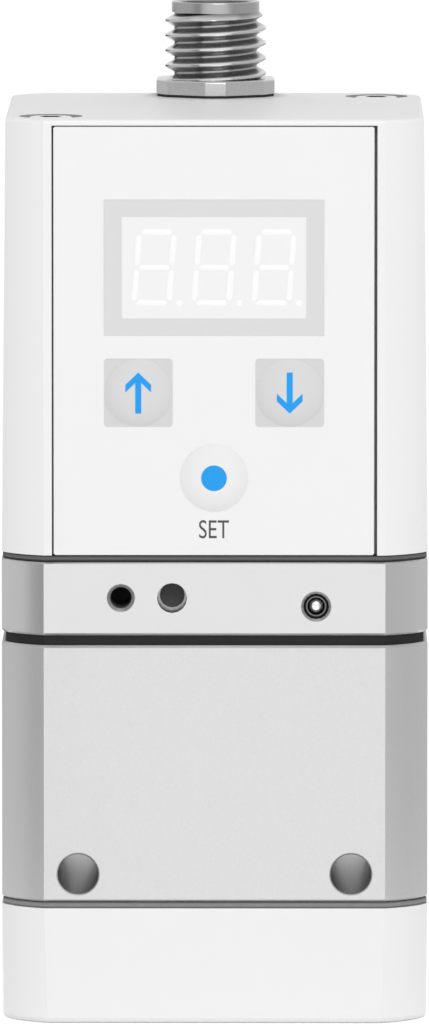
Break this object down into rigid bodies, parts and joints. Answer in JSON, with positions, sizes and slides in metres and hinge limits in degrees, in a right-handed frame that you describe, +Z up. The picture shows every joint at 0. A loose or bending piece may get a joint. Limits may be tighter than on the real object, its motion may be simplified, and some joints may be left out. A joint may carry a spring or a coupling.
{
  "type": "electro pneumatic regulator",
  "caption": "Upright electro pneumatic regulator: metal valve body with threaded ports under a white electronics cover with display, keys and a round cable connector.",
  "frame": {"origin": "centre of the base cap's underside", "axes": "+Z up through the stack of layers, -Y out of the front panel, +X to the right seen from the front"},
  "size_m": [0.05, 0.0477, 0.1186],
  "materials": {
    "white_plastic": "satin white moulding",
    "gasket_rubber": "dark grey flat gasket",
    "black_rubber": "black rubber",
    "blasted_aluminium": "fine blasted",
    "smooth_aluminium": "smooth anodised",
    "piston_aluminium": "turned",
    "brass": "turned",
    "pin_brass": "gilt contact",
    "screw_steel": "plated",
    "dark_steel": "blackened",
    "connector_metal": "satin plated",
    "filter_plastic": "porous disc",
    "display_grey": "clear over grey frame",
    "key_plastic": "soft grey and white keys with blue marks",
    "black_plastic": "moulded",
    "board_green": "glass-fibre board",
    "sensor_plastic": "moulded"
  },
  "bodies": {
    "housing": {"base_cap": "white_plastic", "base_screw_1": "screw_steel", "base_screw_2": "screw_steel", "base_screw_3": "screw_steel", "base_screw_4": "screw_steel", "board_screw_1": "screw_steel", "board_screw_2": "screw_steel", "board_screw_3": "screw_steel", "board_screw_4": "screw_steel", "body_gasket": "black_rubber", "cap_gasket": "gasket_rubber", "connector_board": "board_green", "connector_insert": "black_plastic", "connector_nut": "connector_metal", "connector_pin_1": "pin_brass", "connector_pin_2": "pin_brass", "connector_pin_3": "pin_brass", "connector_pin_4": "pin_brass", "connector_seal": "black_rubber", "connector_shell": "connector_metal", "control_board": "board_green", "cover_gasket": "gasket_rubber", "cover_screw_front": "screw_steel", "cover_screw_rear": "screw_steel", "display_lens": "display_grey", "display_module": "black_plastic", "down_switch": "black_plastic", "electronics_cover": "white_plastic", "exhaust_valve": "black_plastic", "front_panel": "white_plastic", "guide_seal": "black_rubber", "pilot_block": "smooth_aluminium", "poppet_guide": "brass", "poppet_spring": "screw_steel", "pressure_sensor": "sensor_plastic", "regulator_body": "blasted_aluminium", "sealing_ball": "screw_steel", "sealing_sleeve": "dark_steel", "set_switch": "black_plastic", "supply_valve": "black_plastic", "up_switch": "black_plastic", "vent_filter": "filter_plastic"},
    "up_key": {"up_button": "key_plastic"},
    "down_key": {"down_button": "key_plastic"},
    "set_key": {"set_button": "key_plastic"},
    "piston": {"control_piston": "piston_aluminium", "piston_seal": "black_rubber"},
    "poppet": {"main_poppet": "brass", "poppet_seal": "black_rubber"},
    "supply_armature": {"supply_plunger": "screw_steel"},
    "exhaust_armature": {"exhaust_plunger": "screw_steel"}
  },
  "joints": [
    {"name": "up_key_press", "type": "slide", "parent": "housing", "child": "up_key", "axis": [0, 1, 0], "range_m": [0, 0.0004], "stiffness_N_per_m": 800},
    {"name": "down_key_press", "type": "slide", "parent": "housing", "child": "down_key", "axis": [0, 1, 0], "range_m": [0, 0.0004], "stiffness_N_per_m": 800},
    {"name": "set_key_press", "type": "slide", "parent": "housing", "child": "set_key", "axis": [0, 1, 0], "range_m": [0, 0.0004], "stiffness_N_per_m": 800},
    {"name": "piston_slide", "type": "slide", "parent": "housing", "child": "piston", "axis": [0, 0, -1], "range_m": [0, 0.001], "stiffness_N_per_m": 2000},
    {"name": "poppet_slide", "type": "slide", "parent": "housing", "child": "poppet", "axis": [0, 0, -1], "range_m": [0, 0.001], "stiffness_N_per_m": 2000, "deforming": ["poppet_spring"]},
    {"name": "supply_plunger_lift", "type": "slide", "parent": "housing", "child": "supply_armature", "axis": [0, 0, 1], "range_m": [0, 0.0003], "stiffness_N_per_m": 500},
    {"name": "exhaust_plunger_lift", "type": "slide", "parent": "housing", "child": "exhaust_armature", "axis": [0, 0, 1], "range_m": [0, 0.0003], "stiffness_N_per_m": 500}
  ],
  "couplings": [
    {"joint": "poppet_slide", "follows": "piston_slide", "ratio": 1}
  ]
}
